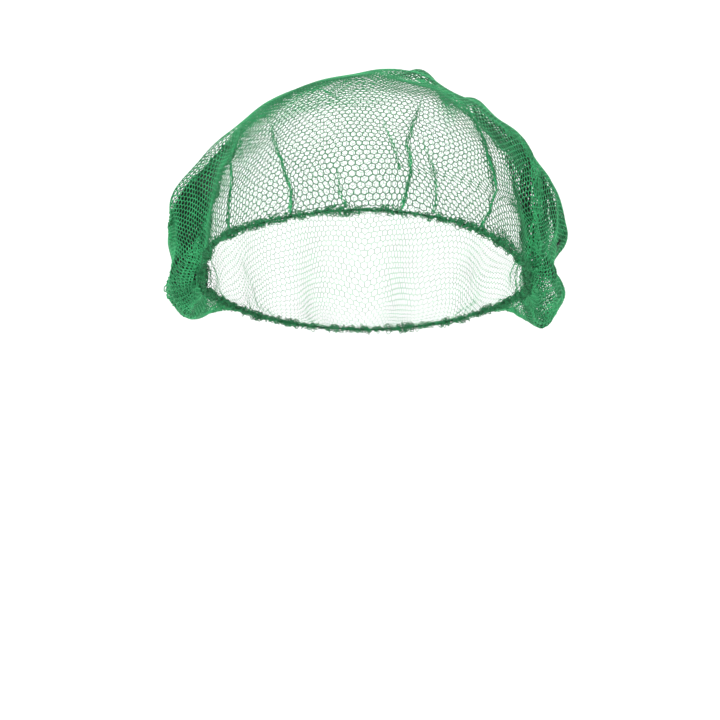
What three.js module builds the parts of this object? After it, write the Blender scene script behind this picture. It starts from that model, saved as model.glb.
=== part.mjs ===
// A worn hairnet: a round cut of knitted net, gathered on an elastic hem, in the form it takes when worn.
// Millimetres, +Z up, the wearer faces -Y. The origin is the centre of the head opening.
// An azimuth is in degrees, 0 at the forehead, 90 at +X and 180 at the nape.
// A level runs along the net from 0 at the hem to 1 at the top of the crown.
import * as THREE from "three";

// The head that the net fits, as an upright oval under a dome
const HEAD_HALF_WIDTH = 76;
const HEAD_HALF_LENGTH = 92.5;
const DOME_BASE = 20;
const DOME_RISE = 80;

const WALL = 1.2;
const GAP = 0.3;
const HEM_RADIUS = 1.5;
const HEM_RUFFLE = 0.35;
const HEM_RUFFLES = 30;
const HEM_SIDES = 6;
const CROWN_TOP = 101;
const CROWN_RING_HEIGHT = 86;

// The mesh: rows along the net, and columns around it
const ROWS = [
  0, 0.035, 0.07, 0.11, 0.16, 0.19, 0.22, 0.28, 0.35, 0.42,
  0.49, 0.56, 0.63, 0.7, 0.76, 0.81, 0.86, 0.91, 0.96,
];
const AROUND = 120;
const NET_COLOUR = 0x2f9a5c;
const HEM_COLOUR = 0x1c7440;

// Where the named points of a section lie along the net
const LEVEL_OF = {
  rim: 0, low: 0.07, lobe: 0.16, pinch: 0.22, belly: 0.36, shoulder: 0.56, crown: 0.8, top: 1,
};

// One row for each section through the vertical axis.
// Out is how far the net stands off the head, and Z is a height.
// The pouch hangs to low, swells to lobe, draws in at pinch and is widest from belly to shoulder.
const COLUMNS = [
  "at", "rimZ", "lowOut", "lowZ", "lobeOut", "lobeZ", "pinchOut", "pinchZ",
  "bellyOut", "bellyZ", "shoulderOut", "shoulderZ", "crownOut",
];
const SECTIONS = [
  [-155, -16, 11, -13, 21, -3, 24, 9, 28, 28, 24, 52, 14],
  [-130, -9, 12, -9, 22, 0, 23, 10, 27, 26, 23, 50, 11],
  [-108, -3, 13, -16, 24, -2, 22, 7, 23, 24, 22, 44, 8],
  [-92, -1, 9, -11, 15, -1, 14, 9, 15, 25, 17, 44, 6],
  [-78, 7, 3, 11, 4, 16, 4, 21, 5, 33, 6, 54, 4],
  [-60, 17, 1.2, 22, 1.2, 27, 1.4, 32, 1.6, 42, 2, 58, 2],
  [-30, 25, 1.2, 30, 1.2, 35, 1.4, 40, 1.5, 49, 1.5, 64, 1.5],
  [0, 29, 1.2, 34, 1.2, 39, 1.4, 44, 1.5, 53, 1.5, 67, 1.5],
  [30, 23.5, 1.2, 28.5, 1.2, 33.5, 1.4, 38.5, 1.5, 48, 1.5, 63, 1.5],
  [60, 10.5, 1.2, 15.5, 1.2, 21, 1.4, 27, 1.8, 39, 2.5, 60, 3],
  [78, 4, 3, 8, 4, 14, 5, 21, 7, 34, 9, 57, 7],
  [92, -2, 9, -9, 16, -2, 13, 10, 17, 28, 17, 54, 12],
  [108, -4, 13, -19, 26, -4, 18, 11, 26, 29, 24, 54, 16],
  [130, -9, 12, -9, 22, -1, 21, 10, 28, 28, 27, 54, 17],
  [155, -16, 11, -13, 21, -3, 23, 9, 28, 29, 27, 54, 17],
  [180, -19, 11, -15, 21, -4, 23, 9, 28, 29, 25, 53, 16],
];

// Rounded puffs of loose net on the crown: centre, half width across and along the head, and lift
const PUFFS = [
  { x: 25, y: 40, across: 17, along: 36, lift: 12 },
  { x: 46, y: 30, across: 8, along: 24, lift: -2 },
  { x: 70, y: 44, across: 16, along: 26, lift: 6 },
  { x: -30, y: 62, across: 22, along: 22, lift: 3 },
];

// Pleats pinched up on the forehead: azimuth at the hem and at the upper end, level where it ends, and height
const PLEATS = [
  { at: -57, topAt: -66, ends: 0.72, height: 1.8 },
  { at: -30, topAt: -48, ends: 0.66, height: 1.8 },
  { at: -9, topAt: -15, ends: 0.42, height: 1.2 },
  { at: 15, topAt: 27, ends: 0.7, height: 2 },
  { at: 33, topAt: 36, ends: 0.5, height: 1.4 },
  { at: 57, topAt: 63, ends: 0.76, height: 2 },
];
const PLEAT_HALF_WIDTH = 3;
const PLEAT_FADES_FROM = 0.7;

// Gathers that the hem draws into the loose sides and back: how many go round, and how uneven they are
const GATHERS = 22;
const GATHER_HEIGHT = 2.6;
const GATHER_DRIFT = 1.1;
const GATHER_DRIFTS = 5;
const GATHER_SWELL = 0.4;
const GATHER_SWELLS = 7;
const GATHERS_START = 72;
const GATHERS_FULL = 100;
const GATHERS_FADE = 0.78;

const radians = THREE.MathUtils.degToRad;
const smooth = THREE.MathUtils.smoothstep;

// A smooth curve through (knots, values), with the tangent at a knot taken from its neighbours
function spline(knots, values, at) {
  const last = knots.length - 2;
  let i = 0;
  while (i < last && at > knots[i + 1]) i += 1;
  const slope = (k) => {
    const a = Math.max(k - 1, 0);
    const b = Math.min(k + 1, knots.length - 1);
    return (values[b] - values[a]) / (knots[b] - knots[a]);
  };
  const span = knots[i + 1] - knots[i];
  const s = (at - knots[i]) / span;
  const s2 = s * s;
  const s3 = s2 * s;
  return (
    (2 * s3 - 3 * s2 + 1) * values[i] +
    (s3 - 2 * s2 + s) * span * slope(i) +
    (3 * s2 - 2 * s3) * values[i + 1] +
    (s3 - s2) * span * slope(i + 1)
  );
}

const wrapped = (degrees) => ((((degrees + 180) % 360) + 360) % 360) - 180;

// The rows again with the first and last two repeated past the nape, so that the curves close
const turned = (rows, degrees) => rows.map(([at, ...rest]) => [at + degrees, ...rest]);
const ALL_ROUND = [...turned(SECTIONS.slice(-2), -360), ...SECTIONS, ...turned(SECTIONS.slice(0, 2), 360)];

// The section at an azimuth, each column run smoothly round the head
function sectionAt(azimuth) {
  const column = (c) => ALL_ROUND.map((row) => row[c]);
  return Object.fromEntries(
    COLUMNS.map((name, c) => [name, spline(column(0), column(c), wrapped(azimuth))]),
  );
}

function headRadius(azimuth, z) {
  const a = radians(azimuth);
  const oval = 1 / Math.hypot(Math.sin(a) / HEAD_HALF_WIDTH, Math.cos(a) / HEAD_HALF_LENGTH);
  const up = Math.max(0, z - DOME_BASE) / DOME_RISE;
  return oval * Math.sqrt(Math.max(0, 1 - up * up));
}

function place(azimuth, radius, z) {
  const a = radians(azimuth);
  return new THREE.Vector3(radius * Math.sin(a), -radius * Math.cos(a), z);
}

// The middle of the elastic hem
function hemCentre(azimuth) {
  const { rimZ } = sectionAt(azimuth);
  return place(azimuth, headRadius(azimuth, rimZ) + HEM_RADIUS, rimZ);
}

// The smooth form of the net, before pleats and gathers
function netForm(azimuth, level) {
  const s = sectionAt(azimuth);
  const crownRadius = headRadius(azimuth, CROWN_RING_HEIGHT) + s.crownOut;
  const behind = sectionAt(azimuth + 180);
  const radii = [
    0,
    headRadius(azimuth, s.lowZ) + s.lowOut,
    headRadius(azimuth, s.lobeZ) + s.lobeOut,
    headRadius(azimuth, s.pinchZ) + s.pinchOut,
    headRadius(azimuth, s.bellyZ) + s.bellyOut,
    headRadius(azimuth, s.shoulderZ) + s.shoulderOut,
    crownRadius,
    0,
    -headRadius(azimuth + 180, CROWN_RING_HEIGHT) - behind.crownOut,
  ];
  const heights = [
    0, s.lowZ, s.lobeZ, s.pinchZ, s.bellyZ, s.shoulderZ, CROWN_RING_HEIGHT, CROWN_TOP, CROWN_RING_HEIGHT,
  ];
  // The net leaves the hem on the side that faces the next point of the section
  const rimRadius = headRadius(azimuth, s.rimZ) + HEM_RADIUS;
  const away = new THREE.Vector2(radii[1] - rimRadius, heights[1] - s.rimZ).setLength(
    HEM_RADIUS + HEM_RUFFLE + GAP + WALL / 2,
  );
  radii[0] = rimRadius + away.x;
  heights[0] = s.rimZ + away.y;
  const knots = [...Object.values(LEVEL_OF), 2 - LEVEL_OF.crown];
  return place(azimuth, spline(knots, radii, level), spline(knots, heights, level));
}

function puffLift(point) {
  return PUFFS.reduce((sum, puff) => {
    const away = Math.hypot((point.x - puff.x) / puff.across, (point.y - puff.y) / puff.along);
    return sum + puff.lift * Math.exp(-away * away);
  }, 0);
}

// How far pleats and gathers stand out of the smooth form
function relief(azimuth, level) {
  let out = 0;
  for (const pleat of PLEATS) {
    const line = pleat.at + (pleat.topAt - pleat.at) * (level / pleat.ends);
    const off = Math.abs(wrapped(azimuth - line)) / PLEAT_HALF_WIDTH;
    const fade = 1 - smooth(level, pleat.ends * PLEAT_FADES_FROM, pleat.ends);
    out += pleat.height * fade * Math.max(0, 1 - off);
  }
  const loose = smooth(Math.abs(wrapped(azimuth)), GATHERS_START, GATHERS_FULL);
  const risen = smooth(level, LEVEL_OF.low, LEVEL_OF.belly);
  const faded = smooth(level, LEVEL_OF.belly, GATHERS_FADE);
  const drift = GATHER_DRIFT * Math.sin(radians(azimuth * GATHER_DRIFTS));
  const swell = 1 - GATHER_SWELL * Math.cos(radians(azimuth * GATHER_SWELLS));
  const wave = Math.cos(radians(azimuth * GATHERS) + drift);
  return out + GATHER_HEIGHT * loose * risen * (1 - faded) * swell * wave;
}

// A point of the net, at a depth in the wall from -1 inside to 1 outside
function netPoint(azimuth, level, depth) {
  const STEP = 0.01;
  const here = netForm(azimuth, level);
  const low = Math.max(0, level - STEP);
  const high = Math.min(1 - STEP, level + STEP);
  const along = netForm(azimuth, high).sub(netForm(azimuth, low));
  const around = netForm(azimuth + 1, level).sub(netForm(azimuth - 1, level));
  const normal = level === 1 ? new THREE.Vector3(0, 0, 1) : around.cross(along).normalize();
  here.addScaledVector(normal, relief(azimuth, level) + (depth * WALL) / 2);
  here.z += puffLift(here) * smooth(level, LEVEL_OF.belly, LEVEL_OF.crown);
  return here;
}

// A mesh from its points and its triangles
function meshOf(points, faces) {
  const geometry = new THREE.BufferGeometry();
  geometry.setAttribute("position", new THREE.Float32BufferAttribute(points.flatMap((p) => p.toArray()), 3));
  geometry.setIndex(faces.flat());
  geometry.computeVertexNormals();
  return geometry;
}

const azimuths = Array.from({ length: AROUND }, (_, i) => (360 * i) / AROUND - 180);

// The wall of the net: an outer skin and an inner skin that meet along the hem
function netGeometry() {
  const points = [];
  for (const depth of [1, -1])
    for (const level of ROWS) for (const azimuth of azimuths) points.push(netPoint(azimuth, level, depth));
  const index = (skin, row, i) => (skin * ROWS.length + row) * AROUND + (i % AROUND);
  const faces = [];
  const quad = (a, b, c, d) => faces.push([a, b, c], [a, c, d]);
  const top = points.length;
  points.push(netPoint(0, 1, 1), netPoint(0, 1, -1));
  const lastRow = ROWS.length - 1;
  for (let i = 0; i < AROUND; i += 1) {
    for (let row = 0; row < lastRow; row += 1) {
      quad(index(0, row, i), index(0, row, i + 1), index(0, row + 1, i + 1), index(0, row + 1, i));
      quad(index(1, row, i), index(1, row + 1, i), index(1, row + 1, i + 1), index(1, row, i + 1));
    }
    faces.push([index(0, lastRow, i), index(0, lastRow, i + 1), top]);
    faces.push([index(1, lastRow, i + 1), index(1, lastRow, i), top + 1]);
    quad(index(0, 0, i), index(1, 0, i), index(1, 0, i + 1), index(0, 0, i + 1));
  }
  return meshOf(points, faces);
}

// The hem: net bunched round the elastic, a ring whose thickness swells and shrinks
function hemGeometry() {
  const points = [];
  azimuths.forEach((azimuth) => {
    const centre = hemCentre(azimuth);
    const outward = place(azimuth, 1, 0);
    const radius = HEM_RADIUS + HEM_RUFFLE * Math.cos(radians(azimuth * HEM_RUFFLES));
    for (let side = 0; side < HEM_SIDES; side += 1) {
      const turn = (2 * Math.PI * side) / HEM_SIDES;
      const corner = centre.clone().addScaledVector(outward, radius * Math.cos(turn));
      corner.z += radius * Math.sin(turn);
      points.push(corner);
    }
  });
  const index = (i, side) => (i % AROUND) * HEM_SIDES + (side % HEM_SIDES);
  const faces = [];
  for (let i = 0; i < AROUND; i += 1)
    for (let side = 0; side < HEM_SIDES; side += 1) {
      faces.push([index(i, side), index(i + 1, side), index(i + 1, side + 1)]);
      faces.push([index(i, side), index(i + 1, side + 1), index(i, side + 1)]);
    }
  return meshOf(points, faces);
}

function part(name, geometry, color) {
  const material = new THREE.MeshStandardMaterial({ color, roughness: 0.6, metalness: 0 });
  const mesh = new THREE.Mesh(geometry, material);
  mesh.name = name;
  return mesh;
}

const hairnet = new THREE.Group();
hairnet.add(part("net_crown", netGeometry(), NET_COLOUR), part("elastic_hem", hemGeometry(), HEM_COLOUR));

export default hairnet;
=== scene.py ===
# A worn hairnet of green knitted net, gathered on an elastic hem.
# Every thread of the net is real geometry: a flat honeycomb of threads is laid over the worn form,
# pleated in front and gathered into folds at the sides and back.
# Lengths are in millimetres until a mesh is made. An azimuth is 0 in front, 90 at +X and 180 behind.
import math

import bpy
import numpy as np
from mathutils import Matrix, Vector


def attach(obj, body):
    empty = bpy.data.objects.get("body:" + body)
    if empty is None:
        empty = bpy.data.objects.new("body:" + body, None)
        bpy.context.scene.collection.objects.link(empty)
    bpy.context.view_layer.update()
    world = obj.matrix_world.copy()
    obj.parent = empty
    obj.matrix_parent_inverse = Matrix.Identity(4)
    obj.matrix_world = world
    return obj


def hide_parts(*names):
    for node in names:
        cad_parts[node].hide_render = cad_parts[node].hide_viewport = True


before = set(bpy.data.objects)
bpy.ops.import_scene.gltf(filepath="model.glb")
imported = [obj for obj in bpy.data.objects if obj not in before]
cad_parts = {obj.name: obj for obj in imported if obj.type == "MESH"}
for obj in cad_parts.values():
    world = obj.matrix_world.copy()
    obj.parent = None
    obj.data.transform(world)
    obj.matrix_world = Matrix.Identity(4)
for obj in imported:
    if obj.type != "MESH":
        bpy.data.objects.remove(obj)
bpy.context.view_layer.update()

MM = 0.001
SEED = 7

# The picture is 720 pixels square, and a pixel spans PIXEL_MM millimetres where the net's opening is widest
PHOTO_PIXELS = 720
PIXEL_MM = 0.476
CAMERA_DISTANCE = 900
CAMERA_X = -2.6
CAMERA_Z = -35
SENSOR = 36
FLOOR_Z = -200

# The form inside that the net fits, an upright oval under a dome
HEAD_HALF_WIDTH = 76
HEAD_HALF_LENGTH = 92.5
DOME_BASE = 20
DOME_RISE = 80
HEM_RADIUS = 1.5
CROWN_TOP = 101
CROWN_RING_HEIGHT = 86

# Where the named points of a section lie along the net, from the hem at 0 to the top at 1
LEVEL_OF = {
    "rim": 0, "low": 0.07, "lobe": 0.16, "pinch": 0.22,
    "belly": 0.36, "shoulder": 0.56, "crown": 0.8, "top": 1,
}

# One row for each section through the vertical axis, as in the solid under the net.
# Out is how far the net stands off the form inside, and Z is a height.
COLUMNS = (
    "at", "rimZ", "lowOut", "lowZ", "lobeOut", "lobeZ", "pinchOut", "pinchZ",
    "bellyOut", "bellyZ", "shoulderOut", "shoulderZ", "crownOut",
)
SECTIONS = np.array([
    [-155, -16, 11, -13, 21, -3, 24, 9, 28, 28, 24, 52, 14],
    [-130, -9, 12, -9, 22, 0, 23, 10, 27, 26, 23, 50, 11],
    [-108, -3, 11.5, -15, 24, -1, 21, 7, 22, 24, 18, 44, 6.5],
    [-92, -1, 8.5, -11, 16.5, 0, 15.5, 9, 17, 26, 14.5, 45, 5],
    [-84, 3, 7, -1, 14, 6, 13, 15, 15.5, 29, 15, 49, 6],
    [-78, 7, 3, 10, 6, 15, 6, 20, 7.5, 33, 8, 54, 5],
    [-70, 11.5, 1.4, 16, 1.6, 21, 2, 27, 2, 37, 2.4, 56, 3],
    [-60, 17, 1.2, 22, 1.2, 27, 1.4, 32, 1.6, 42, 2, 58, 2],
    [-30, 25, 1.2, 30, 1.2, 35, 1.4, 40, 1.5, 49, 1.5, 64, 1.5],
    [0, 29, 1.2, 34, 1.2, 39, 1.4, 44, 1.5, 53, 1.5, 67, 1.5],
    [30, 23.5, 1.2, 28.5, 1.2, 33.5, 1.4, 38.5, 1.5, 48, 1.5, 63, 1.5],
    [60, 10.5, 1.2, 15.5, 1.2, 21, 1.4, 27, 1.8, 39, 2.5, 60, 3],
    [70, 7.5, 1.6, 11, 2, 17, 3, 23, 4.5, 36, 5.5, 58, 5],
    [78, 4, 4, 6, 8, 12, 8, 20, 10.5, 33, 10.5, 57, 8],
    [84, 1, 7, -2, 13, 5, 11, 15, 14.5, 31, 14.5, 56, 9],
    [92, -2, 9, -10, 17, -3, 13, 9.5, 18, 28, 16.5, 54, 11],
    [108, -4, 12, -18.5, 24.5, -3.5, 18, 9.5, 25.5, 28, 22, 54, 15],
    [130, -9, 12, -9, 22, -1, 21, 10, 28, 28, 27, 54, 17],
    [155, -16, 11, -13, 21, -3, 23, 9, 28, 29, 27, 54, 17],
    [180, -19, 11, -15, 21, -4, 23, 9, 28, 29, 25, 53, 16],
])

# Rounded puffs of loose net on the crown: centre, half width across and along the net, and lift
PUFFS = (
    {"x": 26, "y": 40, "across": 13, "along": 36, "lift": 13.5},
    {"x": 42, "y": 30, "across": 7, "along": 24, "lift": -4.5},
    {"x": 52, "y": 32, "across": 9, "along": 24, "lift": 4},
    {"x": 72, "y": 44, "across": 14, "along": 26, "lift": 6.5},
    {"x": -30, "y": 62, "across": 22, "along": 22, "lift": 3},
)

# The knit: how wide a cell is, how thick a thread is, and how unevenly the threads lie
CELLS = np.array([
    # azimuth, width
    (0, 2.95),
    (62, 2.85),
    (92, 2.5),
    (128, 2.45),
    (150, 3.0),
    (180, 3.4),
])
THREAD_TIGHT = 0.44
THREAD_LOOSE = 0.52
THREAD_BUNCHED = 0.9
THREAD_BEHIND = 0.24
CROWD_JITTER = 0.1
CROWD_WAVE = 0.3
KNIT_WAVE = 0.25
KNIT_JITTER = 0.035

# Pleats in front. Path is (level, azimuth) from the hem up, cells is how much net it swallows,
# width its width and ridge how far it stands up
PLEATS = (
    {"cells": 2.6, "width": 0.9, "ridge": 1.0, "strands": 2,
     "path": [(0, -46), (0.3, -47), (0.47, -51), (0.62, -60), (0.76, -73)]},
    {"cells": 2.6, "width": 0.7, "ridge": 1.0, "strands": 3,
     "path": [(0, -21), (0.17, -21), (0.26, -23), (0.39, -26), (0.52, -31), (0.63, -37), (0.7, -46)]},
    {"cells": 1.6, "width": 2.4, "ridge": 0.4, "strands": 1, "path": [(0, -5), (0.12, -7), (0.28, -8)]},
    {"cells": 2.8, "width": 0.8, "ridge": 1.1, "strands": 3,
     "path": [(0, 9.5), (0.17, 11), (0.24, 12.2), (0.38, 12.8), (0.46, 12.2), (0.6, 16), (0.7, 21),
              (0.77, 26.5)]},
    {"cells": 1.4, "width": 0.7, "ridge": 0.5, "strands": 1,
     "path": [(0.28, 9.5), (0.32, 9), (0.44, 8.2), (0.52, 6.8), (0.6, 6)]},
    {"cells": 1.8, "width": 0.8, "ridge": 0.6, "strands": 1,
     "path": [(0, 18.5), (0.16, 19.5), (0.24, 19.8), (0.35, 19.5), (0.5, 18)]},
    {"cells": 2.6, "width": 1.0, "ridge": 1.0, "strands": 3,
     "path": [(0, 35), (0.1, 37), (0.2, 40), (0.31, 44), (0.39, 45), (0.51, 45), (0.6, 49), (0.71, 53),
              (0.8, 58), (0.9, 66)]},
)

# Folds of the loose net at the sides and back, which take up all the net that is left over.
# Path and ridge are as for a pleat, share is how much of the net a fold takes, and width is at the hem and
# at the top
CURTAINS = (
    {"share": 8, "width": (4, 4), "ridge": 1.2,
     "path": [(0, 78), (0.16, 75), (0.3, 72), (0.4, 73), (0.5, 76), (0.6, 82), (0.7, 88), (0.85, 94),
              (1, 98)]},
    {"share": 2, "width": (3, 3), "ridge": 0.8,
     "path": [(0, 86), (0.27, 84), (0.5, 87), (0.75, 96), (1, 104)]},
    {"share": 5, "width": (5, 6), "ridge": 0.6,
     "path": [(0, 104), (0.3, 104), (0.6, 108), (0.8, 112), (1, 118)]},
    {"share": 40, "width": (9, 24), "ridge": -1.0, "path": [(0, 128), (0.5, 129), (1, 140)]},
    {"share": 14, "width": (8, 20), "ridge": 1.0, "path": [(0, 150), (1, 150)]},
    {"share": 14, "width": (8, 20), "ridge": 1.0, "path": [(0, 171), (1, 170)]},
    {"share": 14, "width": (8, 20), "ridge": 1.0, "path": [(0, -166), (1, -164)]},
    {"share": 14, "width": (8, 20), "ridge": 1.0, "path": [(0, -147), (1, -150)]},
    {"share": 40, "width": (10, 26), "ridge": -1.0, "path": [(0, -127), (0.5, -129), (1, -142)]},
    {"share": 2, "width": (5, 5), "ridge": 0, "path": [(0, -103), (0.5, -101), (1, -104)]},
)

# Layers of loose net folded in behind the outer one, and crumpled net bunched on it. Each band is
# (level, middle azimuth, half width) from the hem up, depth is how far in the layer lies, and shade how far
# its threads are painted toward the painted shade colour, as net lying in shadow.
# Turn is the angle of its knit, jitter how unevenly it lies, and loose the looseness that it needs
LAYERS = (
    {"name": "folds_left", "turn": 37, "depth": 5, "thread": 1.3, "jitter": 0.3,
     "shade": 1, "loose": 0.9,
     "bands": (
        [(0, -94, 26), (0.3, -92, 23), (0.5, -95, 18), (0.6, -98, 12), (0.65, -100, 9)],
    )},
    {"name": "folds_right", "turn": 71, "depth": 5, "thread": 1.3, "jitter": 0.3,
     "shade": 1, "loose": 0.9,
     "bands": (
        [(0, 69, 7), (0.16, 67.5, 5.5), (0.3, 66.5, 4), (0.4, 68, 3.4), (0.5, 71.5, 2.8), (0.6, 77, 3.5),
         (0.7, 79, 4.5), (0.8, 84, 6)],
        [(0.1, 79, 2.8), (0.22, 79, 2.8), (0.3, 77.5, 2.8), (0.4, 78, 2.8), (0.5, 81, 2.5), (0.6, 90, 5),
         (0.66, 96, 4)],
        [(0.2, 95, 7), (0.3, 97, 8), (0.4, 97, 8), (0.5, 98, 7), (0.56, 100, 4)],
    )},
    {"name": "bunch_left", "turn": 113, "depth": 0.7, "thread": 0.6, "jitter": 0.35,
     "shade": 0.1, "loose": 0.8,
     "bands": (
        [(0, -97, 33), (0.13, -96, 31), (0.165, -78, 12), (0.2, -74, 8), (0.22, -71, 5), (0.3, -68, 2.5)],
        [(0.15, -97, 5), (0.3, -99, 8), (0.42, -106, 15), (0.55, -115, 24), (0.8, -122, 30),
         (0.88, -125, 30)],
        [(0.2, -83, 2), (0.3, -85, 1.5), (0.4, -88.5, 2), (0.45, -91, 2)],
    )},
    {"name": "bunch_right", "turn": 149, "depth": 0.7, "thread": 0.6, "jitter": 0.35,
     "shade": 0.1, "loose": 0.8,
     "bands": (
        [(0, 82, 18), (0.1, 77, 10), (0.16, 73.5, 5.5), (0.22, 72.8, 4), (0.3, 72.2, 3.6), (0.4, 73.2, 3.4),
         (0.5, 76.5, 3.8), (0.6, 84, 4.5), (0.7, 92, 6), (0.8, 100, 8)],
        [(0, 98, 6), (0.16, 94, 3), (0.24, 92, 1)],
    )},
    {"name": "bunch_front", "turn": 191, "depth": 0.2, "thread": 0.42, "jitter": 0.2,
     "shade": 0, "loose": -1,
     "bands": (
        [(0, 48, 12), (0.05, 48, 10), (0.11, 49, 4)],
        [(0, 0, 64), (0.022, 0, 64)],
        [(0.33, 44.5, 1), (0.41, 45.5, 2.6), (0.51, 46, 3), (0.6, 50, 3.2), (0.71, 54, 4), (0.8, 59, 5),
         (0.9, 68, 9)],
    )},
    {"name": "folds_top", "turn": 53, "depth": 1.6, "thread": 1.2, "jitter": 0.3,
     "shade": 0.75, "loose": 0.9,
     "bands": (
        [(0.5, -128, 12), (0.6, -113, 24), (0.72, -118, 28), (0.86, -124, 30)],
    )},
)
# Where the far side of the right wing is a single open net, as a band
OPEN_NET = [(0.16, 112, 6), (0.3, 112, 7), (0.45, 112, 6), (0.6, 108, 4)]

# A layer lies partly further in and partly further back than the outer net
BACKWARD = np.array([0, 1.0, 0])
UP = np.array([0, 0, 1.0])
INWARD_SHARE = 0.3

# Creases across the net, where its threads lie gathered without a pleat: (level, azimuth) along each
CREASES = (
    {"ridge": 0.5, "strands": 2, "path": [(0.82, -41), (0.8, -21), (0.74, -11.5)]},
)
GATHER_STEPS = 110
GATHER_THREAD = 0.36

# The hem: a round elastic with the net bunched on it
CORE_RADIUS = 0.45
CORE_STEPS = 900
CORE_SIDES = 10
BUNCH_RADIUS = 1.45
HEM_THREAD = 0.34
STRANDS = 4
STRAND_STEPS = 1800
HEM_LOOPS = 1800
LOOP_STEPS = 10
THREAD_SIDES = 4

NET_DEEP = (0.02, 0.26, 0.09)
NET_BRIGHT = (0.05, 0.5, 0.18)
NET_TIGHT = (0.007, 0.165, 0.053)
# Painted shade: the near black green toward which a thread is painted where it lies in shadow
PAINTED_SHADE_COLOUR = (0.001, 0.016, 0.006)
HEM_DEEP = (0.006, 0.1, 0.035)
HEM_BRIGHT = (0.03, 0.33, 0.115)
DRIFT_SCALE = 160
HEM_DRIFT_SCALE = 500

rng = np.random.default_rng(SEED)


def smooth(x, low, high):
    t = np.clip((np.asarray(x, float) - low) / (high - low), 0, 1)
    return t * t * (3 - 2 * t)


def wrapped(degrees):
    return (np.asarray(degrees) + 180) % 360 - 180


def unit(vectors):
    return vectors / np.maximum(np.linalg.norm(vectors, axis=-1, keepdims=True), 1e-9)


# A smooth curve through (knots, values), with the tangent at a knot taken from its neighbours.
# values may hold many curves, one to a column
def spline(knots, values, at):
    knots, values, at = (np.asarray(a, float) for a in (knots, values, at))
    last = len(knots) - 1
    i = np.clip(np.searchsorted(knots, at, side="left") - 1, 0, last - 1)
    before, after = np.maximum(np.arange(last + 1) - 1, 0), np.minimum(np.arange(last + 1) + 1, last)
    spread = (knots[after] - knots[before]).reshape([-1] + [1] * (values.ndim - 1))
    slopes = (values[after] - values[before]) / spread
    span = knots[i + 1] - knots[i]
    s = (at - knots[i]) / span
    s, span = (a.reshape([-1] + [1] * (values.ndim - 1)) for a in (s, span))
    return (
        (2 * s**3 - 3 * s**2 + 1) * values[i]
        + (s**3 - 2 * s**2 + s) * span * slopes[i]
        + (3 * s**2 - 2 * s**3) * values[i + 1]
        + (s**3 - s**2) * span * slopes[i + 1]
    )


# The sections at many azimuths, as one array for each column
def sections_at(azimuths):
    before, after = SECTIONS[-2:].copy(), SECTIONS[:2].copy()
    before[:, 0] -= 360
    after[:, 0] += 360
    rows = np.concatenate([before, SECTIONS, after])
    found = spline(rows[:, 0], rows, wrapped(azimuths))
    return {name: found[:, c] for c, name in enumerate(COLUMNS)}


def head_radius(azimuths, z):
    a = np.radians(azimuths)
    oval = 1 / np.hypot(np.sin(a) / HEAD_HALF_WIDTH, np.cos(a) / HEAD_HALF_LENGTH)
    up = np.maximum(0, np.asarray(z) - DOME_BASE) / DOME_RISE
    return oval * np.sqrt(np.maximum(0, 1 - up * up))


def place(azimuths, radius, z):
    a = np.radians(azimuths)
    return np.stack(np.broadcast_arrays(radius * np.sin(a), -radius * np.cos(a), z), axis=-1)


def puff_lift(points):
    lift = np.zeros(points.shape[:-1])
    for puff in PUFFS:
        across = (points[..., 0] - puff["x"]) / puff["across"]
        along = (points[..., 1] - puff["y"]) / puff["along"]
        lift += puff["lift"] * np.exp(-(across**2) - along**2)
    return lift


# The worn form without its folds, as points on a grid of levels by azimuths
def worn_form(levels, azimuths):
    s = sections_at(azimuths)
    behind = sections_at(azimuths + 180)
    rim = head_radius(azimuths, s["rimZ"]) + HEM_RADIUS
    low = head_radius(azimuths, s["lowZ"]) + s["lowOut"]
    away = np.stack([low - rim, s["lowZ"] - s["rimZ"]])
    away *= HEM_RADIUS / np.linalg.norm(away, axis=0)
    named = ("low", "lobe", "pinch", "belly", "shoulder")
    ring = np.full_like(rim, CROWN_RING_HEIGHT)
    radii = [rim + away[0]]
    radii += [head_radius(azimuths, s[n + "Z"]) + s[n + "Out"] for n in named]
    radii += [head_radius(azimuths, ring) + s["crownOut"], np.zeros_like(rim)]
    radii += [-head_radius(azimuths + 180, ring) - behind["crownOut"]]
    heights = [s["rimZ"] + away[1], *(s[n + "Z"] for n in named), ring, np.full_like(rim, CROWN_TOP), ring]
    knots = [*LEVEL_OF.values(), 2 - LEVEL_OF["crown"]]
    points = place(azimuths, spline(knots, radii, levels), spline(knots, heights, levels))
    points[..., 2] += puff_lift(points) * smooth(levels, LEVEL_OF["belly"], LEVEL_OF["crown"])[:, None]
    return points


# How loose the net is: 0 where the form inside holds it, as a view from the front shows, and 1 beside it
def looseness(points):
    nearer = CAMERA_DISTANCE / (CAMERA_DISTANCE + points[..., 1])
    x = points[..., 0] * nearer
    z = (points[..., 2] - CAMERA_Z) * nearer + CAMERA_Z
    beside = np.hypot(x / HEAD_HALF_WIDTH, np.maximum(0, z - DOME_BASE) / DOME_RISE) - 1
    beside = beside * HEAD_HALF_WIDTH - 1.5 * smooth(z, 60, 90)
    drawn_tight = smooth(-x, 0, 20) * smooth(z, 64, 84)
    return smooth(beside, -1.5, 1.5) * (1 - drawn_tight)


# Values on a regular grid, read between its points. rows and columns are fractions of the grid
def read(grid, rows, columns):
    r = np.clip(rows, 0, 1) * (grid.shape[0] - 1)
    c = np.clip(columns, 0, 1) * (grid.shape[1] - 1)
    i, j = np.minimum(r.astype(int), grid.shape[0] - 2), np.minimum(c.astype(int), grid.shape[1] - 2)
    u, v = r - i, c - j
    if grid.ndim == 3:
        u, v = u[..., None], v[..., None]
    return (
        (1 - u) * (1 - v) * grid[i, j] + u * (1 - v) * grid[i + 1, j]
        + (1 - u) * v * grid[i, j + 1] + u * v * grid[i + 1, j + 1]
    )


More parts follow.
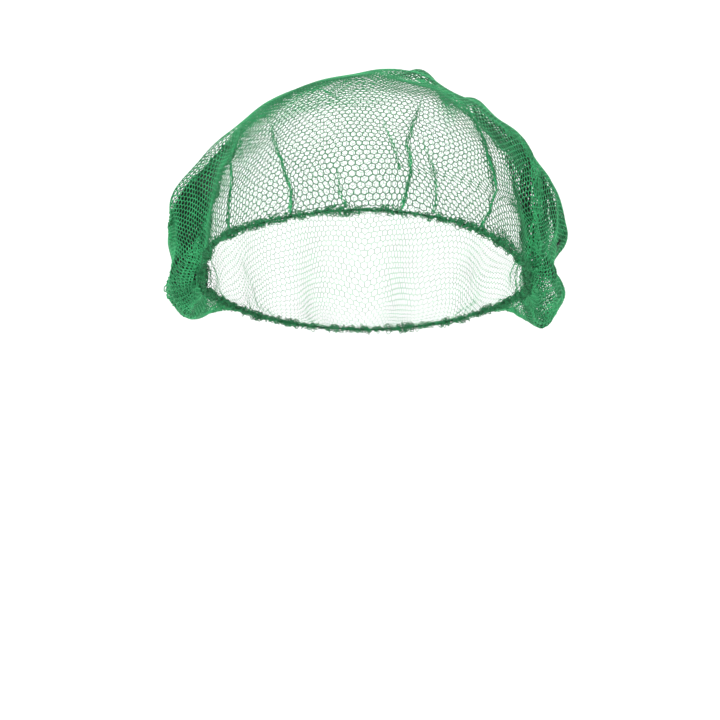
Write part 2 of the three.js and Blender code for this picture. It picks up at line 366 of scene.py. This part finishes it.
# Smooth random waves over the flat net, each point being in cells
def waves(points, count, shortest, longest, seed):
    draw = np.random.default_rng(seed)
    length = np.exp(draw.uniform(math.log(shortest), math.log(longest), count))
    turn, phase = draw.uniform(0, 2 * math.pi, (2, count))
    k = 2 * math.pi / length[:, None] * np.stack([np.cos(turn), np.sin(turn)], axis=1)
    total = np.zeros(len(points))
    for wave in range(count):
        total += np.sin(points @ k[wave] + phase[wave])
    return total * math.sqrt(2 / count)


# The width of a fold at each level. A pleat keeps its width
def fold_width(fold, levels):
    hem, top = np.broadcast_to(fold["width"], 2)
    return hem + (top - hem) * smooth(levels, LEVEL_OF["pinch"], 1)


# The worn form and how the flat net lies on it, as tables over level and azimuth
class Form:
    LEVELS = 241
    AZIMUTHS = 1441
    FLAT_ANGLES = 2881
    RINGS = 441
    MOST_CELLS = 140
    FIND_STEPS = 60

    def __init__(self):
        self.levels = np.linspace(0, 1, self.LEVELS)
        self.azimuths = np.linspace(-180, 180, self.AZIMUTHS)
        self.points = worn_form(self.levels, self.azimuths)
        along = np.gradient(self.points, axis=0)
        around = np.gradient(self.points, axis=1)
        around[:, [0, -1]] = (around[:, [0]] + around[:, [-1]]) / 2
        normals = np.cross(around, along)
        normals[-1] = (0, 0, 1)
        self.normals = unit(normals)
        # How far apart two neighbouring sections are, in mm for each radian, square to the sections
        apart = np.linalg.norm(np.cross(around, unit(along)), axis=-1) / np.radians(360 / (self.AZIMUTHS - 1))
        radius = np.hypot(self.points[..., 0], self.points[..., 1])
        self.apart = np.clip(apart, 0.7 * radius, 2.2 * radius)
        steps = np.linalg.norm(np.diff(self.points, axis=0), axis=-1)
        self.cell = np.interp(np.abs(self.azimuths), CELLS[:, 0], CELLS[:, 1])
        down = np.cumsum((steps / self.cell)[::-1], axis=0)[::-1]
        self.rings = np.concatenate([down, np.zeros((1, self.AZIMUTHS))])
        self.loose = looseness(self.points)
        self.flat_angle, self.crowding = self.lay_round()
        self.invert()

    # How the flat angle grows with azimuth, and how crowded the net is: steadily at the natural size of a
    # cell, and steeply across each fold. What the pleats leave over goes into the curtains
    def lay_round(self):
        radius = np.hypot(self.points[..., 0], self.points[..., 1])
        per_ring = radius / np.maximum(self.rings, 4)
        natural = np.maximum(self.apart, 0.5) / np.maximum(self.rings * self.cell, 0.5)
        natural[-8:] = 1
        density = natural.copy()
        for pleat in PLEATS:
            off, strength = self.across(pleat, radius)
            pinch = 0
            for width, part in ((pleat["width"], 0.75), (3 * pleat["width"] + 1.5, 0.25)):
                pinch = pinch + part * np.exp(-((off / width) ** 2)) / (width * math.sqrt(math.pi))
            density = density + pleat["cells"] * strength * pinch * per_ring
        taken = np.zeros_like(density)
        for curtain in CURTAINS:
            off, strength = self.across(curtain, radius)
            width = fold_width(curtain, self.levels)[:, None]
            taken += curtain["share"] * strength * np.exp(-((off / width) ** 2)) / width
        middle = self.AZIMUTHS // 2
        angle = np.zeros_like(density)
        for side in (slice(middle, None), slice(middle, None, -1)):
            part, folds = density[:, side], taken[:, side]
            left_over = np.maximum(0, 1 - part.mean(axis=1)) / folds.mean(axis=1)
            part = part + left_over[:, None] * folds
            density[:, side] = part
            run = np.cumsum(part, axis=1) - part[:, :1]
            angle[:, side] = math.pi * run / run[:, -1:]
        angle[:, :middle] *= -1
        return angle, density / natural

    # How far the net lies from a fold, in mm, and how strong the fold is at each level
    def across(self, fold, radius):
        level, azimuth = np.array(fold["path"], float).T
        at = np.interp(self.levels, level, azimuth)[:, None]
        off = np.radians(wrapped(self.azimuths[None, :] - at)) * radius
        return off, self.pleat_strength(fold, self.levels)[:, None]

    @staticmethod
    def pleat_strength(pleat, levels):
        first, last = pleat["path"][0][0], pleat["path"][-1][0]
        strength = np.ones_like(levels)
        if first > 0:
            strength *= smooth(levels, first - 0.02, first + 0.05)
        if last < 1:
            strength *= 1 - smooth(levels, last - 0.16, last)
        return strength

    # The tables the other way round: azimuth from flat angle at each level, level from ring at each azimuth
    def invert(self):
        angles = np.linspace(-math.pi, math.pi, self.FLAT_ANGLES)
        self.azimuth_of = np.array([np.interp(angles, row, self.azimuths) for row in self.flat_angle])
        rings = np.linspace(0, self.MOST_CELLS, self.RINGS)
        columns = self.rings[::-1].T
        self.level_of = np.array([np.interp(rings, c, self.levels[::-1]) for c in columns]).T

    # The level and azimuth of each point of the flat net, given as ring and flat angle
    def find(self, ring, angle):
        column = (angle + math.pi) / (2 * math.pi)
        level = np.full_like(ring, 0.5)
        for _ in range(self.FIND_STEPS):
            azimuth = read(self.azimuth_of, level, column)
            level = 0.5 * level + 0.5 * read(self.level_of, ring / self.MOST_CELLS, (azimuth + 180) / 360)
        return level, azimuth

    def at(self, table, level, azimuth):
        return read(table, level, (azimuth + 180) / 360)


# The flat honeycomb, in cells: two nodes to a cell, and for each upper node its three lower neighbours
class Honeycomb:
    def __init__(self, reach):
        rows = int(reach / math.sqrt(0.75)) + 4
        columns = int(reach) + 4
        j, i = np.mgrid[-rows:rows + 1, -columns:columns + 1]
        self.shape = j.shape
        x = i + 0.5 * (j % 2)
        y = j * math.sqrt(0.75)
        half = 1 / math.sqrt(3)
        count = j.size
        self.flat = np.concatenate([
            np.stack([x, y + half], axis=-1).reshape(-1, 2), np.stack([x, y - half], axis=-1).reshape(-1, 2),
        ])
        odd = j % 2
        above = self.number(j + 2, i, rows, columns)
        left = self.number(j + 1, i - 1 + odd, rows, columns)
        right = self.number(j + 1, i + odd, rows, columns)
        ends = np.stack([above, left, right], axis=-1).reshape(-1, 3)
        # Thread k of upper node n runs to lower node ends[n, k]; -1 is past the edge of the table
        self.lower_of = np.where(ends >= 0, ends + count, -1)
        self.upper_count = count
        self.neighbours = np.full((2 * count, 3), -1)
        self.neighbours[:count] = self.lower_of
        for k in range(3):
            known = self.lower_of[:, k] >= 0
            self.neighbours[self.lower_of[known, k], k] = np.flatnonzero(known)

    @staticmethod
    def number(j, i, rows, columns):
        inside = (abs(j) <= rows) & (abs(i) <= columns)
        return np.where(inside, (j + rows) * (2 * columns + 1) + i + columns, -1)


# The net as placed nodes: their points, normals and looseness
class Net:
    def __init__(self, form, comb, turn=0):
        self.comb = comb
        flat = self.comb.flat.copy()
        shake = np.stack([waves(flat, 28, 9, 30, SEED + 1), waves(flat, 28, 9, 30, SEED + 2)], axis=1)
        flat += KNIT_WAVE * shake + rng.normal(0, KNIT_JITTER, flat.shape)
        ring = np.hypot(flat[:, 0], flat[:, 1])
        angle = np.arctan2(flat[:, 0], -flat[:, 1]) + math.radians(turn)
        angle = (angle + math.pi) % (2 * math.pi) - math.pi
        self.level, self.azimuth = form.find(ring, angle)
        hem_ring = form.at(form.rings, np.zeros_like(ring), self.azimuth)
        self.inside = ring <= hem_ring + 0.2
        self.loose = form.at(form.loose, self.level, self.azimuth)
        self.points = form.at(form.points, self.level, self.azimuth)
        facing_back = form.at(form.normals, self.level, self.azimuth)[:, 1]
        self.behind = smooth(facing_back, 0.1, 0.35) * (1 - self.loose)
        self.bunched = smooth(self.points[:, 1], 15, 35) * self.loose
        self.bunched[in_bands(self, [OPEN_NET])] = 0
        self.crumple(form)
        self.normals = self.surface_normals(form)

    # Raises the folds, crumples the loose net and jumbles the threads where they crowd
    def crumple(self, form):
        normal = unit(form.at(form.normals, self.level, self.azimuth))
        crowd = np.clip(form.at(form.crowding, self.level, self.azimuth) - 1, 0, 4)
        inland = smooth(self.level, 0, 0.1)
        out = (0.3 + 0.5 * self.loose) * inland * waves(self.comb.flat, 20, 9, 30, SEED + 4)
        out += CROWD_WAVE * np.minimum(crowd, 2) * inland * waves(self.comb.flat, 24, 5, 12, SEED + 5)
        out += CROWD_JITTER * crowd * rng.normal(0, 1, len(out))
        for folds, spread in ((PLEATS, 1.4), (CURTAINS, 1.1)):
            out += self.ridges(form, folds, spread) * inland
        self.points = self.points + out[:, None] * normal

    def ridges(self, form, folds, spread):
        out = np.zeros(len(self.points))
        radius = np.hypot(self.points[:, 0], self.points[:, 1])
        for fold in folds:
            level, azimuth = np.array(fold["path"], float).T
            off = np.radians(wrapped(self.azimuth - np.interp(self.level, level, azimuth))) * radius
            strength = form.pleat_strength(fold, self.level) * (1 - smooth(self.level, 0.75, 0.93))
            width = spread * fold_width(fold, self.level)
            out += fold["ridge"] * strength * np.exp(-((off / width) ** 2))
        return out

    def surface_normals(self, form):
        near = self.comb.neighbours
        known = (near >= 0).all(axis=1)
        p = self.points
        normal = unit(form.at(form.normals, self.level, self.azimuth))
        a, b, c = (p[near[known, k]] for k in range(3))
        found = np.cross(b - a, c - a)
        length = np.linalg.norm(found, axis=1, keepdims=True)
        found = np.where(length > 1e-4, found / np.maximum(length, 1e-9), normal[known])
        # A lower node's neighbours go round the same way as an upper node's
        normal[known] = found
        return normal


# A closed mesh of threads for the chosen (upper node, thread) pairs
def thread_mesh(net, chosen, widths, shade=None):
    comb = net.comb
    upper, k = chosen
    lower = comb.lower_of[upper, k]
    used = np.unique(np.concatenate([upper, lower]))
    index = np.full(len(net.points), -1)
    index[used] = np.arange(len(used))
    p, n, w = net.points[used], net.normals[used], widths[used] / 2
    near = comb.neighbours[used]
    near = np.where(near >= 0, near, used[:, None])
    arms = net.points[near] - p[:, None, :]
    lengths = np.maximum(np.linalg.norm(arms, axis=-1), 0.05)
    arms = arms / lengths[..., None]
    corners = []
    for c in range(3):
        one, two, third = arms[:, c], arms[:, (c + 1) % 3], arms[:, (c + 2) % 3]
        toward = one + two - 0.5 * third
        toward = unit(toward - (toward * n).sum(axis=1, keepdims=True) * n)
        half_sine = np.linalg.norm(one - two, axis=1) / 2
        reach = w / np.maximum(half_sine, 0.45)
        reach = np.minimum(reach, 0.6 * np.minimum(lengths[:, c], lengths[:, (c + 1) % 3]) + 0.4 * w)
        corners.append(p + reach[:, None] * toward)
    thick = 0.85 * w[:, None] * n
    points = np.stack([p + thick, p - thick, *corners], axis=1).reshape(-1, 3)
    a, b = 5 * index[upper], 5 * index[lower]
    left_a, right_a = a + 2 + k, a + 2 + (k - 1) % 3
    left_b, right_b = b + 2 + (k - 1) % 3, b + 2 + k
    faces = np.concatenate([
        np.stack([a, b, left_b, left_a], axis=1),
        np.stack([b, a, right_a, right_b], axis=1),
        np.stack([left_a, left_b, b + 1, a + 1], axis=1),
        np.stack([right_b, right_a, a + 1, b + 1], axis=1),
    ])
    present = np.zeros((len(used), 3), bool)
    present[index[upper], k] = True
    present[index[lower], k] = True
    node, gap = np.nonzero(~present)
    base = 5 * node
    caps = np.stack([base + 2 + gap, base, base + 2 + (gap - 1) % 3, base + 1], axis=1)
    # Painted shade, as for threads in shadow: a loose thread is painted darker on its inner side and its
    # edges, a bunched one on its edges and a little on its top, and a layer given a shade is painted alike
    # all over
    painted_shade = net.loose[used][:, None] * np.array([0, 1, 0.4, 0.4, 0.4])
    painted_shade += net.bunched[used][:, None] * np.array([0.1, 0, 0.5, 0.5, 0.5])
    if shade is not None:
        painted_shade[:] = shade
    tight = (1 - net.loose[used]) * (1 - smooth(p[:, 1], -35, -5))
    return points, np.concatenate([faces, caps]), painted_shade.ravel(), np.repeat(tight, 5)


# A mesh object from points in millimetres and quads
def mesh_object(name, points, faces, painted_shade, tight):
    mesh = bpy.data.meshes.new(name)
    mesh.vertices.add(len(points))
    mesh.vertices.foreach_set("co", (points * MM).astype(np.float32).ravel())
    mesh.loops.add(faces.size)
    mesh.loops.foreach_set("vertex_index", faces.astype(np.int32).ravel())
    mesh.polygons.add(len(faces))
    mesh.polygons.foreach_set("loop_start", np.arange(0, faces.size, faces.shape[1], dtype=np.int32))
    mesh.polygons.foreach_set("use_smooth", np.ones(len(faces), bool))
    mesh.update(calc_edges=True)
    # Each point keeps how much painted shade it has and how tight the net is there
    for label, values in (("painted_shade", painted_shade), ("tight", tight)):
        values = np.broadcast_to(values, len(points)).astype(np.float32)
        mesh.attributes.new(label, "FLOAT", "POINT").data.foreach_set("value", values)
    mesh.validate()
    thing = bpy.data.objects.new(name, mesh)
    bpy.context.scene.collection.objects.link(thing)
    return thing


# A thread longer than this would be torn, and is left out
LONGEST_THREAD = 11

# Azimuths between which each panel of the net lies, and how the net is held there
PANELS = {
    "net_front": (-60, 60, "stretched"),
    "net_left": (-120, -60, "gathered"),
    "net_right": (60, 120, "gathered"),
    "net_back_left": (-181, -120, "gathered"),
    "net_back_right": (120, 181, "gathered"),
}


# The threads of a net, as (upper node, thread) pairs, whose two ends both lie in a region
def threads_in(net, region):
    lower = net.comb.lower_of
    upper = np.repeat(np.arange(net.comb.upper_count)[:, None], 3, axis=1)
    region = region & net.inside
    keep = (lower >= 0) & region[upper] & region[np.maximum(lower, 0)]
    u, k = np.nonzero(keep)
    length = np.linalg.norm(net.points[u] - net.points[lower[u, k]], axis=-1)
    whole = length < LONGEST_THREAD
    return u[whole], k[whole]


# The width and length in metres of the flat net that a piece's threads were knitted as, and the area of the
# threads alone, summed over the piece's own faces. A cell has three threads
def flat_cloth(form, net, threads, piece):
    upper = threads[0]
    cell = np.interp(np.abs(net.azimuth[upper]), CELLS[:, 0], CELLS[:, 1])
    cloth = float((math.sqrt(0.75) / 3 * cell**2).sum()) * MM**2
    deep = float(np.ptp(net.level[upper]) * (form.rings[0] * form.cell).mean()) * MM
    length = min(deep, math.sqrt(cloth))
    faces = np.empty(len(piece.data.polygons))
    piece.data.polygons.foreach_get("area", faces)
    return cloth / length, length, faces.sum() / 2


def build_net(form, comb, material):
    net = Net(form, comb)
    widths = THREAD_TIGHT + (THREAD_LOOSE - THREAD_TIGHT) * net.loose
    widths += (THREAD_BEHIND - THREAD_TIGHT) * net.behind + (THREAD_BUNCHED - THREAD_LOOSE) * net.bunched
    widths = widths * rng.uniform(0.9, 1.1, len(widths))
    u, k = threads_in(net, np.ones(len(widths), bool))
    cloths = []
    for name, (first, last, held) in PANELS.items():
        here = (net.azimuth[u] >= first) & (net.azimuth[u] < last)
        threads = u[here], k[here]
        piece = mesh_object(name, *thread_mesh(net, threads, widths))
        piece.data.materials.append(material)
        cloths.append((piece, flat_cloth(form, net, threads, piece), held))
    return cloths


# Whether each node lies in one of a layer's bands
def in_bands(net, bands):
    inside = np.zeros(len(net.level), bool)
    for band in bands:
        level, middle, half = np.array(band, float).T
        off = abs(wrapped(net.azimuth - np.interp(net.level, level, middle)))
        reached = (net.level >= level[0]) & (net.level <= level[-1])
        inside |= (off < np.interp(net.level, level, half)) & reached
    return inside


def build_layers(form, comb, material):
    cloths = []
    for layer in LAYERS:
        net = Net(form, comb, layer["turn"])
        normal = unit(form.at(form.normals, net.level, net.azimuth))
        share = smooth(np.abs(normal[:, 2]), 0.3, 0.8) + smooth(normal[:, 1], -0.2, 0.2)
        share = (INWARD_SHARE + (1 - INWARD_SHARE) * np.minimum(share, 1))[:, None]
        inward = BACKWARD - share * (normal + BACKWARD)
        net.points = net.points + layer["depth"] * inward + rng.normal(0, layer["jitter"], net.points.shape)
        region = in_bands(net, layer["bands"]) & (net.loose > layer["loose"])
        widths = np.full(len(net.level), float(layer["thread"]))
        threads = threads_in(net, region)
        piece = mesh_object(layer["name"], *thread_mesh(net, threads, widths, layer["shade"]))
        piece.data.materials.append(material)
        cloths.append((piece, flat_cloth(form, net, threads, piece), "folded"))
    return cloths


# Closed tubes along many closed loops of points, (loops, steps, 3), with a steady sideways direction
def tubes(loops, radius, sides, aside):
    count, steps, _ = loops.shape
    along = unit(np.roll(loops, -1, axis=1) - np.roll(loops, 1, axis=1))
    side = unit(np.cross(along, np.broadcast_to(aside, along.shape)))
    up = np.cross(side, along)
    turn = 2 * math.pi * np.arange(sides) / sides
    radius = np.broadcast_to(radius, (count, steps))[..., None, None]
    ring = np.cos(turn)[:, None] * side[:, :, None, :] + np.sin(turn)[:, None] * up[:, :, None, :]
    points = (loops[:, :, None, :] + radius * ring).reshape(-1, 3)
    loop, step, corner = np.meshgrid(np.arange(count), np.arange(steps), np.arange(sides), indexing="ij")

    def number(step, corner):
        return ((loop * steps + step % steps) * sides + corner % sides).ravel()

    ends = ((0, 0), (1, 0), (1, 1), (0, 1))
    faces = [number(step + ahead, corner + beside) for ahead, beside in ends]
    return points, np.stack(faces, axis=1)


# The middle of the elastic, its outward direction and its own direction, at any azimuths
def hem_line(azimuths):
    rim = sections_at(azimuths)["rimZ"]
    centre = place(azimuths, head_radius(azimuths, rim) + HEM_RADIUS, rim)
    ahead_z = sections_at(azimuths + 0.5)["rimZ"]
    ahead = place(azimuths + 0.5, head_radius(azimuths + 0.5, ahead_z) + HEM_RADIUS, ahead_z)
    along = unit(ahead - centre)
    out = place(azimuths, 1.0, 0.0)
    out = unit(out - (out * along).sum(axis=1, keepdims=True) * along)
    return centre, out, np.cross(along, out)


# The elastic, a smooth round cord drawn in slightly between the gathers
def elastic_core():
    azimuths = np.linspace(-180, 180, CORE_STEPS, endpoint=False)
    centre, out, up = hem_line(azimuths)
    a = np.radians(azimuths)
    line = centre + 0.12 * np.sin(61 * a)[:, None] * out + 0.12 * np.sin(47 * a + 1)[:, None] * up
    radius = CORE_RADIUS * (1 + 0.06 * np.sin(140 * a))
    return tubes(line[None], radius[None], CORE_SIDES, UP)


# How much net is bunched at each azimuth of the hem, round 1, with clumps and thin stretches
def hem_bunching(azimuths):
    round_it = np.stack([np.asarray(azimuths) * 1.6, np.zeros(np.size(azimuths))], axis=1)
    return np.clip(1 + 0.2 * waves(round_it, 14, 5, 40, SEED + 9), 0.65, 1.4)


# Threads of the net wound and bunched along the elastic
def hem_strands():
    azimuths = np.linspace(-180, 180, STRAND_STEPS, endpoint=False)
    centre, out, up = hem_line(azimuths)
    a = np.radians(azimuths)
    bunching = hem_bunching(azimuths)
    lines = []
    for strand in range(STRANDS):
        turns, wobble = rng.integers(60, 150), rng.integers(150, 260)
        phase, second = rng.uniform(0, 2 * math.pi, 2)
        swing = phase + 2.6 * np.sin(turns * a + second) + strand
        reach = 0.75 + 0.25 * np.sin(wobble * a + phase) + 0.2 * np.sin(17 * a + 2 * second)
        reach = BUNCH_RADIUS * reach * bunching
        lines.append(centre + (reach * np.cos(swing))[:, None] * out + (reach * np.sin(swing))[:, None] * up)
    return tubes(np.array(lines), HEM_THREAD / 2, THREAD_SIDES, UP)


# Small loops of the net's last rows, standing off the elastic on all sides, most of them in the clumps
def hem_loops():
    azimuths = rng.uniform(-180, 180, 4 * HEM_LOOPS)
    crowded = rng.uniform(0, 4.2, len(azimuths)) < hem_bunching(azimuths) ** 2
    azimuths = azimuths[crowded][:HEM_LOOPS]
    count = len(azimuths)
    centre, out, up = hem_line(azimuths)
    side = rng.uniform(0, 2 * math.pi, count)
    away = np.cos(side)[:, None] * out + np.sin(side)[:, None] * up
    stand = rng.uniform(0.4, 1.3, count) * BUNCH_RADIUS * hem_bunching(azimuths)
    middle = centre + stand[:, None] * away
    tilt = unit(rng.normal(0, 1, (count, 3)))
    one = unit(np.cross(tilt, away))
    two = np.cross(tilt, one)
    turn = 2 * math.pi * np.arange(LOOP_STEPS) / LOOP_STEPS
    wide, tall = rng.uniform(0.55, 1.25, (2, count))
    loops = (
        middle[:, None, :]
        + (wide[:, None] * np.cos(turn))[..., None] * one[:, None, :]
        + (tall[:, None] * np.sin(turn))[..., None] * two[:, None, :]
    )
    return tubes(loops, HEM_THREAD / 2, THREAD_SIDES, tilt[:, None, :])


# Threads that lie side by side along each pleat and crease, as long loops up one side and down the other
def gathered_threads(form):
    there = np.linspace(0, 1, GATHER_STEPS)
    along = np.concatenate([there, there[::-1]])
    loops, asides, radii = [], [], []
    for pleat in PLEATS + CREASES:
        level, azimuth = np.array(pleat["path"], float).T
        knots = np.linspace(0, 1, len(level))
        for loop in range(pleat["strands"]):
            reach = along * (1 - 0.22 * loop)
            at = np.interp(reach, knots, level)
            sides = np.repeat([0, 9.0], GATHER_STEPS)
            sway = 0.36 * waves(np.stack([along * 40, sides], axis=1), 6, 1.2, 4, SEED + loop)
            side = np.repeat([-0.25, 0.25], GATHER_STEPS) * np.sin(math.pi * along) ** 0.3
            centre = np.interp(reach, knots, azimuth)
            radius = np.linalg.norm(form.at(form.points, at, centre)[:, :2], axis=1)
            around = centre + np.degrees((side + sway) / radius)
            normal = unit(form.at(form.normals, at, around))
            lift = pleat["ridge"] * np.sin(math.pi * np.clip(along * 1.1, 0, 1)) ** 0.5 + 0.3
            loops.append(form.at(form.points, at, around) + lift[:, None] * normal)
            asides.append(normal)
            radii.append(GATHER_THREAD / 2 * (1.1 - 0.6 * along))
    return tubes(np.array(loops), np.array(radii), THREAD_SIDES, np.array(asides))


def build_tubes(made, material, tight):
    pieces = []
    for name, (points, faces, painted_shade) in made.items():
        piece = mesh_object(name, points, faces, painted_shade, tight)
        piece.data.materials.append(material)
        pieces.append(piece)
    return pieces


# Knitted yarn: a green that drifts along the net, a painted shade of near black green where the threads lie
# in shadow, a fine twist and a sheen
def yarn_material(name, deep, bright, scale):
    material = bpy.data.materials.new(name)
    material.use_nodes = True
    nodes, links = material.node_tree.nodes, material.node_tree.links
    shader = nodes["Principled BSDF"]
    shader.inputs["Specular IOR Level"].default_value = 0.25
    shader.inputs["Sheen Weight"].default_value = 0.05
    shader.inputs["Sheen Roughness"].default_value = 0.4
    place_node = nodes.new("ShaderNodeTexCoord")
    painted_shade = nodes.new("ShaderNodeAttribute")
    painted_shade.attribute_name = "painted_shade"
    tight = nodes.new("ShaderNodeAttribute")
    tight.attribute_name = "tight"
    drift = nodes.new("ShaderNodeTexNoise")
    drift.inputs["Scale"].default_value = scale
    drift.inputs["Detail"].default_value = 4
    twist = nodes.new("ShaderNodeTexNoise")
    twist.inputs["Scale"].default_value = 3500
    twist.inputs["Detail"].default_value = 1
    ramp = nodes.new("ShaderNodeValToRGB")
    ramp.color_ramp.elements[0].position = 0.3
    ramp.color_ramp.elements[0].color = (*deep, 1)
    ramp.color_ramp.elements[1].position = 0.7
    ramp.color_ramp.elements[1].color = (*bright, 1)
    drawn = nodes.new("ShaderNodeMix")
    drawn.data_type = "RGBA"
    drawn.inputs[7].default_value = (*NET_TIGHT, 1)
    mix = nodes.new("ShaderNodeMix")
    mix.data_type = "RGBA"
    mix.inputs[7].default_value = (*PAINTED_SHADE_COLOUR, 1)
    bump = nodes.new("ShaderNodeBump")
    bump.inputs["Strength"].default_value = 0.5
    bump.inputs["Distance"].default_value = 0.0001
    rough = nodes.new("ShaderNodeMapRange")
    rough.inputs["To Min"].default_value = 0.38
    rough.inputs["To Max"].default_value = 0.62
    for texture in (drift, twist):
        links.new(place_node.outputs["Object"], texture.inputs["Vector"])
    links.new(drift.outputs["Fac"], ramp.inputs["Fac"])
    links.new(tight.outputs["Fac"], drawn.inputs[0])
    links.new(ramp.outputs["Color"], drawn.inputs[6])
    links.new(painted_shade.outputs["Fac"], mix.inputs[0])
    links.new(drawn.outputs[2], mix.inputs[6])
    links.new(mix.outputs[2], shader.inputs["Base Color"])
    links.new(twist.outputs["Fac"], rough.inputs["Value"])
    links.new(rough.outputs["Result"], shader.inputs["Roughness"])
    links.new(twist.outputs["Fac"], bump.inputs["Height"])
    links.new(bump.outputs["Normal"], shader.inputs["Normal"])
    return material


def build_stage():
    mesh = bpy.data.meshes.new("floor")
    size, back, rise, bend = 4.0, 1.6, 2.5, 0.6
    z = FLOOR_Z * MM
    turns = np.radians(np.arange(6, 91, 6))
    profile = [(-size, z), (back, z)]
    profile += [(back + bend * math.sin(t), z + bend * (1 - math.cos(t))) for t in turns]
    profile += [(back + bend, z + rise)]
    points = [(x, y, h) for y, h in profile for x in (-size, size)]
    faces = [(2 * i, 2 * i + 1, 2 * i + 3, 2 * i + 2) for i in range(len(profile) - 1)]
    mesh.from_pydata(points, [], faces)
    for polygon in mesh.polygons:
        polygon.use_smooth = True
    floor = bpy.data.objects.new("floor", mesh)
    bpy.context.scene.collection.objects.link(floor)
    material = bpy.data.materials.new("floor")
    material.use_nodes = True
    shader = material.node_tree.nodes["Principled BSDF"]
    shader.inputs["Base Color"].default_value = (0.95, 0.95, 0.95, 1)
    shader.inputs["Roughness"].default_value = 0.8
    shader.inputs["Emission Color"].default_value = (1, 1, 1, 1)
    shader.inputs["Emission Strength"].default_value = 0.22
    mesh.materials.append(material)


# Soft lights aimed at the net: where each stands in metres, the side of its square, and its power
LIGHTS = (
    {"name": "key", "at": (-0.6, -1.0, 1.3), "side": 1.0, "power": 26},
    {"name": "fill", "at": (1.3, -0.6, 0.7), "side": 1.2, "power": 8},
    {"name": "back", "at": (0.3, 1.2, 1.2), "side": 1.2, "power": 10},
)
LIT_POINT = Vector((0, 0, 0.03))


def area_light(row):
    light = bpy.data.lights.new(row["name"], "AREA")
    light.shape = "RECTANGLE"
    light.size, light.size_y = row["side"], row["side"]
    light.energy = row["power"]
    lamp = bpy.data.objects.new(row["name"], light)
    lamp.location = row["at"]
    lamp.rotation_euler = (LIT_POINT - Vector(row["at"])).to_track_quat("-Z", "Y").to_euler()
    bpy.context.scene.collection.objects.link(lamp)


def build_lights():
    for row in LIGHTS:
        area_light(row)
    world = bpy.data.worlds.new("studio")
    world.use_nodes = True
    world.node_tree.nodes["Background"].inputs["Color"].default_value = (1, 1, 1, 1)
    world.node_tree.nodes["Background"].inputs["Strength"].default_value = 0.45
    bpy.context.scene.world = world


def build_camera():
    data = bpy.data.cameras.new("camera")
    data.sensor_width = SENSOR
    data.lens = SENSOR * CAMERA_DISTANCE / (PHOTO_PIXELS * PIXEL_MM)
    camera = bpy.data.objects.new("camera", data)
    camera.location = (CAMERA_X * MM, -CAMERA_DISTANCE * MM, CAMERA_Z * MM)
    camera.rotation_euler = (math.radians(90), 0, 0)
    bpy.context.scene.collection.objects.link(camera)
    bpy.context.scene.camera = camera


build_camera()
form = Form()
comb = Honeycomb(form.rings.max() + 2)
net_yarn = yarn_material("net_yarn", NET_DEEP, NET_BRIGHT, DRIFT_SCALE)
hem_yarn = yarn_material("hem_yarn", HEM_DEEP, HEM_BRIGHT, HEM_DRIFT_SCALE)
cloths = build_net(form, comb, net_yarn) + build_layers(form, comb, net_yarn)
# The number after each tube's mesh is how far it is painted toward the painted shade colour: none for the
# gathered threads, most for the elastic, which lies in shadow inside the bunch
gathers = build_tubes({"pleat_gathers": (*gathered_threads(form), 0)}, net_yarn, 0.25)
hem = {
    "elastic_core": (*elastic_core(), 0.8),
    "hem_strands": (*hem_strands(), 0.1),
    "hem_loops": (*hem_loops(), 0),
}
hem_pieces = build_tubes(hem, hem_yarn, 0)
net_pieces = [cloth[0] for cloth in cloths] + gathers
for piece in net_pieces:
    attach(piece, "root")
    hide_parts("net_crown")
for piece in hem_pieces:
    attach(piece, "root")
    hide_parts("elastic_hem")
build_stage()
build_lights()
bpy.context.scene.view_settings.view_transform = "Standard"
